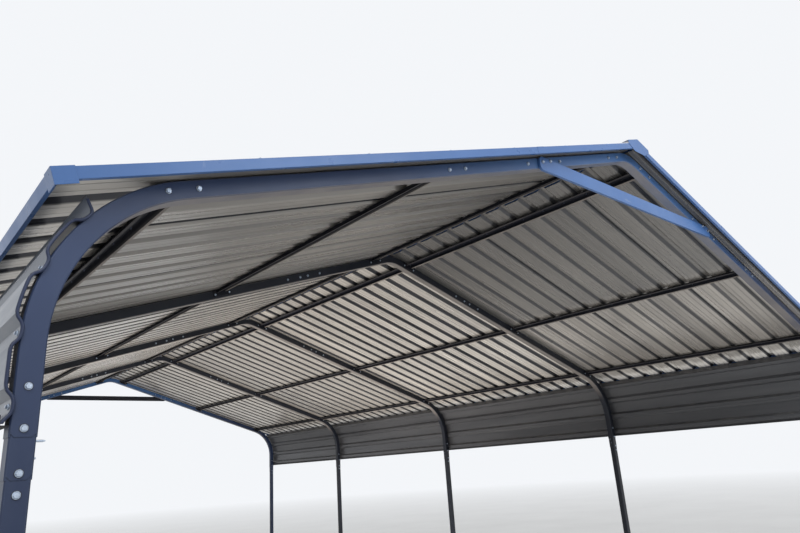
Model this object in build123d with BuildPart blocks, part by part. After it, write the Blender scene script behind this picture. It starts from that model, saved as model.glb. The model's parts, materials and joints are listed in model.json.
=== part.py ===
from build123d import *
from math import cos, pi, radians, sin, tan
import os

# Open carport: five bent tube frames, roof sheets on purlins, side panels under the eaves
# Millimetres, +Z up, front gable toward -Y, right side toward +X
# Origin on the ground, midway between the legs and midway along the length

# Frame sizes
frame_width = 6096.0
tube_size = 57.0
tube_corner = 3.5
eave_height = 2200.0
roof_pitch = 18.2
eave_radius = 487.0
peak_radius = 272.0
end_bay = 2190.0
middle_bay = 2550.0

# Joints in the frame tubes
splice_distance = 927.0
joint_drop = 560.0
joint_step = 1.5
joint_clearance = 0.3
sleeve_length = 89.0
sleeve_insert = 36.0
sleeve_corner = 12.0
tongue_corner = 11.0

# Feet, reaching inward from the legs
foot_length = 130.0
foot_heel = 38.0
foot_width = 90.0
foot_thickness = 6.0
foot_corner = 8.0
anchor_hole_radius = 7.0
anchor_inset = 62.0

# Purlins, hat shaped, between the frames, on plates bolted to the rafters
purlin_height = 22.0
purlin_crown = 36.0
purlin_flank = 6.0
purlin_flange = 14.0
purlin_wall = 1.5
purlin_clearance = 0.3
end_plate_width = 130.0
end_plate_height = 40.0
end_plate_thickness = 2.0
ridge_purlin_distance = 194.0
middle_purlin_distance = 1606.0
eave_purlin_setback = 352.0

# Roof sheets, each lapped over the last rib of the one before
sheet_lift = 4.5
sheet_thickness = 0.9
rib_count = 56
rib_height = 17.0
rib_base = 70.0
rib_crest = 30.0
first_lap_rib = 3
ribs_per_sheet = 5
lap_clearance = 0.3
verge_overhang = 106.0
verge_rib_inset = 12.0
eave_overhang = 12.0
ridge_gap = 12.0

# Trims at the roof edges
trim_thickness = 1.5
trim_face = 33.7
trim_top = 36.0
trim_lip = 14.0
trim_clearance = 0.3
trim_lap_distance = 1080.0
ridge_wing = 120.0
end_cap_wing = 97.0
end_cap_rise = 20.0
end_cap_side = 21.0
end_cap_height = 93.0
end_cap_foot = 55.0
end_cap_depth = 40.0
corner_cap_length = 56.0
corner_cap_height = 47.0

# Side panels wrapped round the eave bends
panel_thickness = 0.9
panel_width = 568.5
panel_rise = 386.0
panel_valleys = 4
panel_pitch = 165.0
panel_valley = 30.0
panel_flank = 20.0
panel_depth = 18.5
panel_lip_run = 16.0
panel_lip_lift = 41.0
panel_clearance = 0.3
panel_end_margin = 10.0
edge_strip_height = 22.0
edge_strip_wall = 1.5

# Gable ties
tie_distance = 927.0
tie_overhang = 56.0
tie_sag = 18.0
tie_height = 72.0
tie_depth = 14.0
tie_wall = 2.5
tie_end_radius = 24.0

# Heights and places that follow from the sizes above
leg_x = (frame_width - tube_size) / 2
tube_face_x = leg_x + tube_size / 2
pitch_angle = radians(roof_pitch)
eave_tangent = eave_radius * tan((pi / 2 - pitch_angle) / 2)
peak_height = eave_height + leg_x * tan(pitch_angle)
frame_span = 2 * (end_bay + middle_bay)
frame_places = [
    -frame_span / 2,
    -frame_span / 2 + end_bay,
    0.0,
    frame_span / 2 - end_bay,
    frame_span / 2,
]
frame_names = ["front", "second", "middle", "fourth", "back"]
side_names = {-1: "left", 1: "right"}
joint_height = eave_height - joint_drop
sleeve_bottom = joint_height - sleeve_length
sleeve_size = tube_size - 2 * joint_step
leg_size = sleeve_size - 2 * joint_step
socket_size = sleeve_size + 2 * joint_clearance
sheet_base = tube_size / 2 + sheet_lift
purlin_sole = sheet_base - purlin_height
roof_half_length = frame_span / 2 + verge_overhang
roof_half_width = leg_x + eave_overhang
first_rib = -roof_half_length + verge_rib_inset
rib_pitch = -2 * first_rib / (rib_count - 1)
lap_lift = sheet_thickness + lap_clearance

os.makedirs("parts", exist_ok=True)


def save(builder, name):
    builder.part.label = name
    export_step(builder.part, f"parts/{name}.step")


def slope_point(distance, lift=0.0):
    """Point (x, z) on the right slope, down from the peak and lifted off the rafter's centre line."""
    x = distance * cos(pitch_angle) + lift * sin(pitch_angle)
    z = peak_height - distance * sin(pitch_angle) + lift * cos(pitch_angle)
    return x, z


def slope_section(side, distance):
    """Plane across the slope: its x runs along the length and its y lifts off the roof."""
    x, z = slope_point(distance)
    downhill = (side * cos(pitch_angle), 0, -sin(pitch_angle))
    return Plane(origin=(side * x, 0, z), x_dir=(0, side, 0), z_dir=downhill)


def length_section(side, y, distance, lift):
    """Plane square to the length: its x runs down the slope and its y lifts off the roof."""
    x, z = slope_point(distance, lift)
    downhill = (side * cos(pitch_angle), 0, -sin(pitch_angle))
    return Plane(origin=(side * x, y, z), x_dir=downhill, z_dir=(0, -side, 0))


def slope_distance(x, lift):
    """Distance down the slope of the point at that x and lift."""
    return (x - lift * sin(pitch_angle)) / cos(pitch_angle)


def tube_profile(plane, size):
    """Square with its corners cut, across that plane."""
    with BuildSketch(plane) as section:
        square = Rectangle(size, size)
        chamfer(square.vertices(), length=tube_corner)
    return section.sketch


def corner_points(x, z, hand, cut):
    """Lower corner at that place and the two ends of the cut across it."""
    return [(x, z), (x, z + cut), (x - hand * cut, z)]


# Frame tubes
def peak_tube(y):
    end_x, end_z = slope_point(splice_distance)
    bend_tangent = peak_radius * tan(pitch_angle)
    top_x, top_z = slope_point(bend_tangent)
    with BuildPart() as tube:
        with BuildLine(Plane.XZ.offset(-y)) as path:
            left_run = Line((-end_x, end_z), (-top_x, top_z))
            bend = TangentArc(left_run @ 1, (top_x, top_z), tangent=left_run % 1)
            Line(bend @ 1, (end_x, end_z))
        start = Plane(origin=path.line @ 0, x_dir=(0, 1, 0), z_dir=path.line % 0)
        sweep(sections=tube_profile(start, tube_size), path=path.line)
    return tube


def eave_tube(side, y):
    """Tube from the splice round the eave bend, with a cornered tongue over the leg's sleeve."""
    end_x, end_z = slope_point(splice_distance)
    corner_distance = leg_x / cos(pitch_angle)
    bend_x, bend_z = slope_point(corner_distance - eave_tangent)
    with BuildPart() as tube:
        with BuildLine(Plane.XZ.offset(-y)) as path:
            run = Line((side * end_x, end_z), (side * bend_x, bend_z))
            bend = TangentArc(run @ 1, (side * leg_x, eave_height - eave_tangent), tangent=run % 1)
            Line(bend @ 1, (side * leg_x, joint_height))
        start = Plane(origin=path.line @ 0, x_dir=(0, 1, 0), z_dir=path.line % 0)
        sweep(sections=tube_profile(start, tube_size), path=path.line)
        socket = Plane(origin=(side * leg_x, y, joint_height), z_dir=(0, 0, 1))
        extrude(tube_profile(socket, socket_size), amount=sleeve_insert, mode=Mode.SUBTRACT)
        for face in (-1, 1):
            with BuildSketch(Plane.XZ.offset(-y - face * tube_size / 2)):
                for hand in (-1, 1):
                    corner_x = side * leg_x + hand * tube_size / 2
                    with BuildLine():
                        Polyline(*corner_points(corner_x, joint_height, hand, tongue_corner), close=True)
                    make_face()
            extrude(amount=face * (tube_size - socket_size) / 2, mode=Mode.SUBTRACT)
    return tube


def leg(side, y):
    """Lower leg with the joint sleeve at its top and the foot plate welded to its bottom."""
    with BuildPart() as post:
        collar = Plane(origin=(side * leg_x, y, sleeve_bottom), z_dir=(0, 0, 1))
        extrude(tube_profile(collar, sleeve_size), amount=sleeve_length + sleeve_insert)
        for face in (-1, 1):
            with BuildSketch(Plane.XZ.offset(-y - face * sleeve_size / 2)):
                for hand in (-1, 1):
                    corner_x = side * leg_x + hand * sleeve_size / 2
                    with BuildLine():
                        Polyline(*corner_points(corner_x, sleeve_bottom, hand, sleeve_corner), close=True)
                    make_face()
            extrude(amount=face * joint_step, mode=Mode.SUBTRACT)
        shank = Plane(origin=(side * leg_x, y, foot_thickness), z_dir=(0, 0, 1))
        extrude(tube_profile(shank, leg_size), amount=joint_height - foot_thickness)
        with BuildSketch(Plane.XY.move(Location((side * leg_x, y, 0)))):
            with Locations((-side * (foot_length / 2 - foot_heel), 0)):
                plate = Rectangle(foot_length, foot_width)
            chamfer(plate.vertices(), length=foot_corner)
            with Locations((-side * anchor_inset, 0)):
                Circle(anchor_hole_radius, mode=Mode.SUBTRACT)
        extrude(amount=foot_thickness)
    return post


# Purlins
def purlin(side, distance):
    """Hat shaped lengths between the frames, each with a bolted plate at both ends."""
    half_crown = purlin_crown / 2
    foot = half_crown + purlin_flank
    reach = foot + purlin_flange
    under_crown = purlin_height - purlin_wall
    outline = [
        (-reach, 0),
        (-foot, 0),
        (-half_crown, under_crown),
        (half_crown, under_crown),
        (foot, 0),
        (reach, 0),
        (reach, purlin_wall),
        (foot + purlin_wall, purlin_wall),
        (half_crown + purlin_wall, purlin_height),
        (-half_crown - purlin_wall, purlin_height),
        (-foot - purlin_wall, purlin_wall),
        (-reach, purlin_wall),
    ]
    plate_gap = tube_size / 2 + purlin_clearance
    beam_gap = plate_gap + end_plate_thickness + purlin_clearance
    plate_lift = tube_size / 2 - end_plate_height / 2
    with BuildPart() as beams:
        for place, following in zip(frame_places, frame_places[1:]):
            start, stop = (place, following) if side > 0 else (following, place)
            with BuildSketch(length_section(side, start + side * beam_gap, distance, purlin_sole)):
                with BuildLine():
                    Polyline(*outline, close=True)
                make_face()
            extrude(amount=place - following + 2 * beam_gap)
            for y, thickness in (
                (start + side * plate_gap, -end_plate_thickness),
                (stop - side * plate_gap, end_plate_thickness),
            ):
                with BuildSketch(length_section(side, y, distance, plate_lift)):
                    Rectangle(end_plate_width, end_plate_height)
                extrude(amount=thickness)
    return beams


# Roof sheets
def sheet_line(first, last):
    """Underside of one sheet, from the rib it laps over to the rib it ends under."""
    points = []
    for index in range(first, last + 1):
        rib = first_rib + index * rib_pitch
        crest = rib_height
        if index == 0:
            points.append((rib - verge_rib_inset, crest))
        elif index == first:
            crest = rib_height + lap_lift
            points.append((rib - rib_crest / 2, crest))
        else:
            points.append((rib - rib_base / 2, 0.0))
            points.append((rib - rib_crest / 2, crest))
        if index == rib_count - 1:
            points.append((rib + verge_rib_inset, crest))
        elif index == last:
            points.append((rib + rib_crest / 2, crest))
        else:
            points.append((rib + rib_crest / 2, crest))
            points.append((rib + rib_base / 2, 0.0))
    return points


def roof_sheets(side):
    start = slope_distance(ridge_gap, sheet_base)
    end = slope_distance(roof_half_width, sheet_base)
    lap_ribs = list(range(first_lap_rib, rib_count - 1, ribs_per_sheet))
    with BuildPart() as sheets:
        with BuildSketch(slope_section(side, start)):
            for first, last in zip([0] + lap_ribs, lap_ribs + [rib_count - 1]):
                lower = [(side * y, sheet_base + rise) for y, rise in sheet_line(first, last)]
                upper = [(along, lift + sheet_thickness) for along, lift in reversed(lower)]
                with BuildLine():
                    Polyline(*lower, *upper, close=True)
                make_face()
        extrude(amount=end - start)
    return sheets


# Side panels
bend_centre = (leg_x - eave_radius, eave_height - eave_tangent)
panel_radius = eave_radius + tube_size / 2
panel_bottom = bend_centre[1] + panel_rise - panel_width
panel_half_length = frame_span / 2 + tube_size / 2 + panel_end_margin


def panel_point(side, run, lift):
    """Point at that distance down the panel, lifted off the outer face of the tubes."""
    centre_x, centre_z = bend_centre
    reach = panel_radius + lift
    if run < panel_rise:
        angle = (panel_rise - run) / panel_radius
        x = centre_x + reach * cos(angle)
        z = centre_z + reach * sin(angle)
    else:
        x = centre_x + reach
        z = centre_z - (run - panel_rise)
    return side * x, z


def panel_stations():
    """Distances down the panel and lifts off the tubes, from the top lip to the bottom edge."""
    stations = [(0.0, panel_lip_lift)]
    for index in range(panel_valleys):
        valley_start = panel_lip_run + index * panel_pitch
        valley_end = valley_start + panel_valley
        next_start = min(valley_start + panel_pitch - panel_flank, panel_width)
        stations += [
            (valley_start, panel_clearance),
            (valley_end, panel_clearance),
            (valley_end + panel_flank, panel_depth),
            (next_start, panel_depth),
        ]
    return stations


def panel_edge(side, stations, extra):
    """Edges through the stations, with arcs where the panel follows the bend."""
    for (run_a, lift_a), (run_b, lift_b) in zip(stations, stations[1:]):
        start = panel_point(side, run_a, lift_a + extra)
        end = panel_point(side, run_b, lift_b + extra)
        first, last = min(run_a, run_b), max(run_a, run_b)
        if lift_a == lift_b and last <= panel_rise:
            ThreePointArc(start, panel_point(side, (first + last) / 2, lift_a + extra), end)
        elif lift_a == lift_b and first < panel_rise:
            tangent_point = panel_point(side, panel_rise, lift_a + extra)
            halfway = panel_point(side, (first + panel_rise) / 2, lift_a + extra)
            if run_a < run_b:
                ThreePointArc(start, halfway, tangent_point)
                Line(tangent_point, end)
            else:
                Line(start, tangent_point)
                ThreePointArc(tangent_point, halfway, end)
        else:
            Line(start, end)


def side_panel(side):
    stations = panel_stations()
    first_run, first_lift = stations[0]
    last_run, last_lift = stations[-1]
    with BuildPart() as panel:
        with BuildSketch(Plane.XZ.offset(-panel_half_length)):
            with BuildLine():
                panel_edge(side, stations, panel_thickness)
                Line(
                    panel_point(side, last_run, last_lift + panel_thickness),
                    panel_point(side, last_run, last_lift),
                )
                panel_edge(side, list(reversed(stations)), 0.0)
                Line(
                    panel_point(side, first_run, first_lift),
                    panel_point(side, first_run, first_lift + panel_thickness),
                )
            make_face()
        extrude(amount=2 * panel_half_length)
    return panel


def panel_rail(side):
    """Edge strip under the panel, from the tubes' outer faces round its bottom edge."""
    inner = tube_face_x + panel_clearance
    outer = tube_face_x + panel_depth + panel_thickness + panel_clearance
    seat = panel_bottom - panel_clearance
    with BuildPart() as rail:
        with BuildSketch(Plane.XZ.offset(-panel_half_length)):
            with BuildLine():
                Polyline(
                    (side * inner, seat),
                    (side * outer, seat),
                    (side * outer, panel_bottom + edge_strip_height),
                    (side * (outer + edge_strip_wall), panel_bottom + edge_strip_height),
                    (side * (outer + edge_strip_wall), seat - edge_strip_wall),
                    (side * inner, seat - edge_strip_wall),
                    close=True,
                )
            make_face()
        extrude(amount=2 * panel_half_length)
    return rail


# Trims
trim_under = sheet_base + rib_height + lap_lift + sheet_thickness + trim_clearance
trim_roof = trim_under + trim_thickness
trim_sole = trim_roof - trim_face
verge_out = roof_half_length + trim_clearance + trim_thickness
eave_end = slope_distance(roof_half_width, sheet_base)
eave_out = eave_end + trim_clearance + trim_thickness
trim_reach = verge_out - trim_top - trim_clearance


def trim_outline(out, sign):
    """Section of an edge trim whose face stands at that distance out."""
    points = [
        (out - trim_top, trim_roof),
        (out, trim_roof),
        (out, trim_sole),
        (out - trim_lip, trim_sole),
        (out - trim_lip, trim_sole + trim_thickness),
        (out - trim_thickness, trim_sole + trim_thickness),
        (out - trim_thickness, trim_under),
        (out - trim_top, trim_under),
    ]
    return [(sign * along, lift) for along, lift in points]


def rake_trim(side, end):
    """Trim down one verge, in two lengths that meet at the lap."""
    outline = trim_outline(verge_out, side * end)
    second_start = trim_lap_distance + trim_clearance
    with BuildPart() as trim:
        for start, stop in ((ridge_gap, trim_lap_distance), (second_start, eave_end)):
            with BuildSketch(slope_section(side, start)):
                with BuildLine():
                    Polyline(*outline, close=True)
                make_face()
            extrude(amount=stop - start)
    return trim


def eave_trim(side):
    """Trim along the low edge of the roof, between the two rake trims."""
    with BuildPart() as trim:
        with BuildSketch(length_section(side, -side * trim_reach, 0.0, 0.0)):
            with BuildLine():
                Polyline(*trim_outline(eave_out, 1), close=True)
            make_face()
        extrude(amount=-2 * trim_reach)
    return trim


def chevron(reach, under, over):
    """Closed outline of a bent strip over the ridge, between two lifts."""
    points = []
    for lift, order in ((under, (-1, 0, 1)), (over, (1, 0, -1))):
        for hand in order:
            if hand == 0:
                points.append((0.0, peak_height + lift / cos(pitch_angle)))
            else:
                x, z = slope_point(reach, lift)
                points.append((hand * x, z))
    return points


def ridge_cap():
    with BuildPart() as cap:
        with BuildSketch(Plane.XZ.offset(-trim_reach)):
            with BuildLine():
                Polyline(*chevron(ridge_wing, trim_under, trim_roof), close=True)
            make_face()
        extrude(amount=2 * trim_reach)
    return cap


def ridge_end_caps():
    """Saddles over the peak at both gables, each a bent top with a tapered face plate."""
    top = trim_roof + end_cap_rise
    face_out = verge_out + trim_clearance
    crown_z = peak_height + top / cos(pitch_angle)
    wing_x, wing_z = slope_point(end_cap_wing, top)
    plate = [
        (-wing_x, wing_z - end_cap_side),
        (-wing_x, wing_z),
        (0.0, crown_z),
        (wing_x, wing_z),
        (wing_x, wing_z - end_cap_side),
        (end_cap_foot, crown_z - end_cap_height),
        (-end_cap_foot, crown_z - end_cap_height),
    ]
    with BuildPart() as caps:
        for end in (-1, 1):
            with BuildSketch(Plane.XZ.offset(-end * (face_out - end_cap_depth))):
                with BuildLine():
                    Polyline(*chevron(end_cap_wing, top - trim_thickness, top), close=True)
                make_face()
            extrude(amount=-end * end_cap_depth)
            with BuildSketch(Plane.XZ.offset(-end * face_out)):
                with BuildLine():
                    Polyline(*plate, close=True)
                make_face()
            extrude(amount=-end * trim_thickness)
    return caps


def corner_caps():
    """Three sided caps over the four corners of the roof."""
    grow = trim_clearance + trim_thickness
    start = eave_out + grow - corner_cap_length
    outside = verge_out + grow - corner_cap_length / 2
    middle = trim_roof + grow - corner_cap_height / 2
    corners = [(side, side * end) for side in (-1, 1) for end in (-1, 1)]
    with BuildPart() as caps:
        for side, sign in corners:
            with BuildSketch(slope_section(side, start)):
                with Locations((sign * outside, middle)):
                    Rectangle(corner_cap_length, corner_cap_height)
            extrude(amount=corner_cap_length)
        for side, sign in corners:
            with BuildSketch(slope_section(side, start)):
                with Locations((sign * (outside - trim_thickness), middle - trim_thickness)):
                    Rectangle(corner_cap_length, corner_cap_height)
            extrude(amount=corner_cap_length - trim_thickness, mode=Mode.SUBTRACT)
    return caps


def gable_tie(end):
    """Pressed tie across the rafters, a shallow tray with its open side on the tubes."""
    face = end * (frame_span / 2 + tube_size / 2)
    tie_x, tie_z = slope_point(tie_distance)
    half_length = tie_x + tie_overhang
    level = tie_z - tie_sag
    with BuildPart() as tie:
        with BuildSketch(Plane.XZ.offset(-face)):
            with Locations((0, level)):
                RectangleRounded(2 * half_length, tie_height, tie_end_radius)
        extrude(amount=-end * tie_depth)
        with BuildSketch(Plane.XZ.offset(-face)):
            with Locations((0, level)):
                tray = Rectangle(2 * (half_length - tie_wall), tie_height - 2 * tie_wall)
                chamfer(tray.vertices(), length=tie_end_radius / 2)
        extrude(amount=-end * (tie_depth - tie_wall), mode=Mode.SUBTRACT)
    return tie


for name, y in zip(frame_names, frame_places):
    save(peak_tube(y), f"{name}_peak_tube")
    for side in (-1, 1):
        save(eave_tube(side, y), f"{name}_{side_names[side]}_eave_tube")
        save(leg(side, y), f"{name}_{side_names[side]}_leg")

for side in (-1, 1):
    hand = side_names[side]
    save(purlin(side, ridge_purlin_distance), f"{hand}_ridge_purlin")
    save(purlin(side, middle_purlin_distance), f"{hand}_middle_purlin")
    save(purlin(side, eave_end - eave_purlin_setback), f"{hand}_eave_purlin")
    save(roof_sheets(side), f"{hand}_roof_sheets")
    save(side_panel(side), f"{hand}_side_panel")
    save(panel_rail(side), f"{hand}_panel_rail")
    save(eave_trim(side), f"{hand}_eave_trim")
    save(rake_trim(side, -1), f"front_{hand}_rake_trim")
    save(rake_trim(side, 1), f"back_{hand}_rake_trim")

save(ridge_cap(), "ridge_cap")
save(ridge_end_caps(), "ridge_end_caps")
save(corner_caps(), "roof_corner_caps")
save(gable_tie(-1), "front_gable_tie")
save(gable_tie(1), "back_gable_tie")
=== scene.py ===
import bpy
import json
from math import cos, pi, radians, sin, tan
from mathutils import Matrix, Vector


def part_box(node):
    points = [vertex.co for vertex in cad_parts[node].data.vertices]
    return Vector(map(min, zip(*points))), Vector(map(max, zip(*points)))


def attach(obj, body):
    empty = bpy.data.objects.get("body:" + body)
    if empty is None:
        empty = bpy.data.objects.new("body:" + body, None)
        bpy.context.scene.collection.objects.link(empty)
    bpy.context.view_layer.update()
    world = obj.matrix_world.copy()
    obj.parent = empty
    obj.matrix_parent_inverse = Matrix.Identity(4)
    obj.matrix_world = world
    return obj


# Open carport with five bent tube frames, in metres, front gable toward -Y
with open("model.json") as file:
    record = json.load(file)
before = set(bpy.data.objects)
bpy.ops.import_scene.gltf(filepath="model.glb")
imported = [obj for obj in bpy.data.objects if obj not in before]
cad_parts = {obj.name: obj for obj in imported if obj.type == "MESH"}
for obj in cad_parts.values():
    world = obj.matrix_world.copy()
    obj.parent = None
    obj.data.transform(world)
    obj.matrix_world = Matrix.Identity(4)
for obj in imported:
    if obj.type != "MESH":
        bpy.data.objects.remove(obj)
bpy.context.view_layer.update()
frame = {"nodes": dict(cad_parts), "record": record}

FRAME_NAMES = ["front", "second", "middle", "fourth", "back"]
INNER_FRAMES = FRAME_NAMES[1:-1]
SIDES = {-1: "left", 1: "right"}

# Sizes repeated from the CAD model
PITCH = radians(18.2)
PEAK_RADIUS = 0.272
EAVE_RADIUS = 0.487
SPLICE_DISTANCE = 0.927
SHEET_LIFT = 0.0045
SHEET_THICKNESS = 0.0009
RIB_COUNT = 56
RIB_HEIGHT = 0.017
RIB_BASE = 0.070
RIB_CREST = 0.030
FIRST_LAP_RIB = 3
RIBS_PER_SHEET = 5
LAP_LIFT = 0.0012
VERGE_RIB_INSET = 0.012
TRIM_THICKNESS = 0.0015
TRIM_GAP = 0.0003
TRIM_FACE = 0.0337
TRIM_TOP = 0.036
TRIM_LAP_DISTANCE = 1.080
RIDGE_WING = 0.120
JOINT_DROP = 0.560
JOINT_STEP = 0.0015
SLEEVE_LENGTH = 0.089
PANEL_WIDTH = 0.5685
PANEL_RISE = 0.386
PANEL_VALLEYS = 4
PANEL_PITCH = 0.165
PANEL_VALLEY = 0.030
PANEL_FLANK = 0.020
PANEL_DEPTH = 0.0185
PANEL_LIP_RUN = 0.016
PANEL_LIP_LIFT = 0.041
PANEL_GAP = 0.0003
PANEL_THICKNESS = 0.0009
TIE_DEPTH = 0.014
FOOT_THICKNESS = 0.006
ANCHOR_INSET = 0.062
END_PLATE_HEIGHT = 0.040
PURLIN_WALL = 0.0015

# Places read from the frame
peak_low, peak_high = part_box("front_peak_tube")
tube = peak_high.y - peak_low.y
peak_height = peak_high.z - tube / 2 - PEAK_RADIUS + PEAK_RADIUS / cos(PITCH)
leg_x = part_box("front_right_eave_tube")[1].x - tube / 2
eave_height = peak_height - leg_x * tan(PITCH)
frame_places = []
for frame_name in FRAME_NAMES:
    low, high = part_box(f"{frame_name}_peak_tube")
    frame_places.append((low.y + high.y) / 2)
second_frame, middle_frame, fourth_frame = frame_places[1:-1]
leg_places = [(side, y) for y in frame_places for side in SIDES]
sheets_low, sheets_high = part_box("right_roof_sheets")
sheet_base = tube / 2 + SHEET_LIFT
first_rib = sheets_low.y + VERGE_RIB_INSET
rib_pitch = (sheets_high.y - sheets_low.y - 2 * VERGE_RIB_INSET) / (RIB_COUNT - 1)
crest_lift = sheet_base + RIB_HEIGHT + SHEET_THICKNESS
trim_roof = crest_lift + LAP_LIFT + TRIM_GAP + TRIM_THICKNESS
trim_sole = trim_roof - TRIM_FACE
eave_tangent = EAVE_RADIUS * tan((pi / 2 - PITCH) / 2)
bend_centre = (leg_x - EAVE_RADIUS, eave_height - eave_tangent)
joint_height = eave_height - JOINT_DROP


def slope_distance(x, lift):
    """Distance down the slope of the point at that x and lift."""
    return (x - lift * sin(PITCH)) / cos(PITCH)


def on_slope(side, distance, lift, y):
    """Point down the slope from the peak, lifted off the rafters' centre line."""
    x = distance * cos(PITCH) + lift * sin(PITCH)
    z = peak_height - distance * sin(PITCH) + lift * cos(PITCH)
    return Vector((side * x, y, z))


def purlin_distance(name):
    """Distance down the slope of a purlin's centre line, from the middle of its box."""
    low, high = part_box(f"right_{name}_purlin")
    return slope_distance((low.x + high.x) / 2, tube / 2 - END_PLATE_HEIGHT / 2)


def rib_place(index):
    """Place of a rib's centre along the length."""
    return first_rib + index * rib_pitch


eave_end = slope_distance(sheets_high.x, crest_lift)
ridge_purlin = purlin_distance("ridge")
middle_purlin = purlin_distance("middle")
eave_purlin = purlin_distance("eave")
PURLINS = (ridge_purlin, middle_purlin, eave_purlin)

# Node helpers for materials
NOISE_RANGE = (0.3, 0.7)
UNSTRETCHED = (1.0, 1.0, 1.0)
BEVEL_SAMPLES = 4
EDGE_COSINES = (0.995, 0.90)

# Places of the colour mix node's sockets
MIX_FACTOR = 0
MIX_FIRST = 6
MIX_SECOND = 7
MIX_RESULT = 2


class Shader:
    """Small builder for one material's node tree."""

    def __init__(self, name):
        self.material = bpy.data.materials.new(name)
        self.material.use_nodes = True
        self.tree = self.material.node_tree
        self.surface = self.tree.nodes["Principled BSDF"]
        coordinates = self.tree.nodes.new("ShaderNodeTexCoord")
        self.place = coordinates.outputs["Object"]
        self.geometry = self.tree.nodes.new("ShaderNodeNewGeometry")

    def link(self, source, target):
        """Joins two sockets."""
        self.tree.links.new(source, target)

    def put(self, socket, value):
        """A number or colour straight on the socket, or a link from another socket."""
        if isinstance(value, tuple):
            socket.default_value = (*value, 1.0)
        elif isinstance(value, (int, float)):
            socket.default_value = value
        else:
            self.link(value, socket)

    def set(self, **values):
        """Numbers straight on the shader's own sockets."""
        for name, value in values.items():
            self.put(self.surface.inputs[name.replace("_", " ")], value)

    def math(self, operation, first, second=0.0, clamp=False):
        """Result of one operation on numbers or sockets."""
        node = self.tree.nodes.new("ShaderNodeMath")
        node.operation = operation
        node.use_clamp = clamp
        for socket, value in zip(node.inputs, (first, second)):
            self.put(socket, value)
        return node.outputs[0]

    def total(self, parts):
        """Sum of several sockets."""
        whole = parts[0]
        for part in parts[1:]:
            whole = self.math("ADD", whole, part)
        return whole

    def noise(self, scale, detail=4.0, rough=0.55, stretch=UNSTRETCHED):
        """Noise in object coordinates that are scaled by the stretch."""
        mapping = self.tree.nodes.new("ShaderNodeMapping")
        mapping.inputs["Scale"].default_value = stretch
        self.link(self.place, mapping.inputs["Vector"])
        node = self.tree.nodes.new("ShaderNodeTexNoise")
        node.inputs["Scale"].default_value = scale
        node.inputs["Detail"].default_value = detail
        node.inputs["Roughness"].default_value = rough
        self.link(mapping.outputs[0], node.inputs["Vector"])
        return node.outputs["Fac"]

    def ramp(self, value, low, high, start=0.0, end=1.0):
        """Value mapped from low..high to start..end and kept inside."""
        node = self.tree.nodes.new("ShaderNodeMapRange")
        limits = {"From Min": low, "From Max": high, "To Min": start, "To Max": end}
        for name, number in limits.items():
            node.inputs[name].default_value = number
        self.link(value, node.inputs["Value"])
        return node.outputs[0]

    def varied(self, scale, detail, start=0.0, end=1.0, rough=0.55, stretch=UNSTRETCHED):
        """Number that wanders from start to end over the surface."""
        return self.ramp(self.noise(scale, detail, rough, stretch), *NOISE_RANGE, start, end)

    def mix(self, factor, first, second):
        """Colour between two colours or sockets."""
        node = self.tree.nodes.new("ShaderNodeMix")
        node.data_type = "RGBA"
        for index, value in ((MIX_FACTOR, factor), (MIX_FIRST, first), (MIX_SECOND, second)):
            self.put(node.inputs[index], value)
        return node.outputs[MIX_RESULT]

    def marks(self, paint, colour, amount, span, **noise):
        """Paint with marks of the colour where a noise rises through the span."""
        return self.mix(self.ramp(self.noise(**noise), *span, 0.0, amount), paint, colour)

    def axis(self, name, source=None):
        """One axis of the object coordinates or of another vector."""
        node = self.tree.nodes.new("ShaderNodeSeparateXYZ")
        self.link(source or self.place, node.inputs[0])
        return node.outputs[name]

    def normal_axis(self, name, kind="True Normal"):
        """One axis of the way the surface faces."""
        return self.axis(name, self.geometry.outputs[kind])

    def rounded_edges(self, radius):
        """Normal that reads the sharp edges as rounded to that radius."""
        node = self.tree.nodes.new("ShaderNodeBevel")
        node.samples = BEVEL_SAMPLES
        node.inputs["Radius"].default_value = radius
        return node.outputs[0]

    def edge_mask(self, rounded):
        """Near one along the edges and zero on flat faces."""
        node = self.tree.nodes.new("ShaderNodeVectorMath")
        node.operation = "DOT_PRODUCT"
        self.link(rounded, node.inputs[0])
        self.link(self.geometry.outputs["Normal"], node.inputs[1])
        return self.ramp(node.outputs["Value"], *EDGE_COSINES)

    def bump(self, height, distance, strength=1.0, normal=None):
        """Normal tilted by a height, over another normal where one is given."""
        node = self.tree.nodes.new("ShaderNodeBump")
        node.inputs["Distance"].default_value = distance
        node.inputs["Strength"].default_value = strength
        self.link(height, node.inputs["Height"])
        if normal is not None:
            self.link(normal, node.inputs["Normal"])
        return node.outputs[0]

    def finish(self, colour, roughness, normal):
        """Links the three to the surface and gives the material back."""
        self.link(colour, self.surface.inputs["Base Color"])
        self.link(roughness, self.surface.inputs["Roughness"])
        self.link(normal, self.surface.inputs["Normal"])
        return self.material


# Dust, and painted bounce light on downward faces
DUST = (0.42, 0.40, 0.36)
BOUNCE_TONE = (0.30, 0.268, 0.242)
UPWARD = (0.35, 0.95)
DOWNWARD = (-0.45, -0.85)


def dusted(shader, paint, amount):
    """Paint with dust on upward faces, broken up by noise."""
    upward = shader.ramp(shader.normal_axis("Z", "Normal"), *UPWARD)
    patches = shader.ramp(shader.noise(7.0, 6.0), 0.35, 0.70)
    dust = shader.math("MULTIPLY", shader.math("MULTIPLY", upward, patches), amount)
    return shader.mix(dust, paint, DUST)


def bounce_light_mask(shader, amount):
    """Painted bounce light on downward faces, broken up by noise."""
    downward = shader.ramp(shader.normal_axis("Z", "Normal"), *DOWNWARD)
    patches = shader.ramp(shader.noise(3.5, 5.0), 0.30, 0.65, 0.55, 1.0)
    return shader.math("MULTIPLY", shader.math("MULTIPLY", downward, patches), amount)
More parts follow.
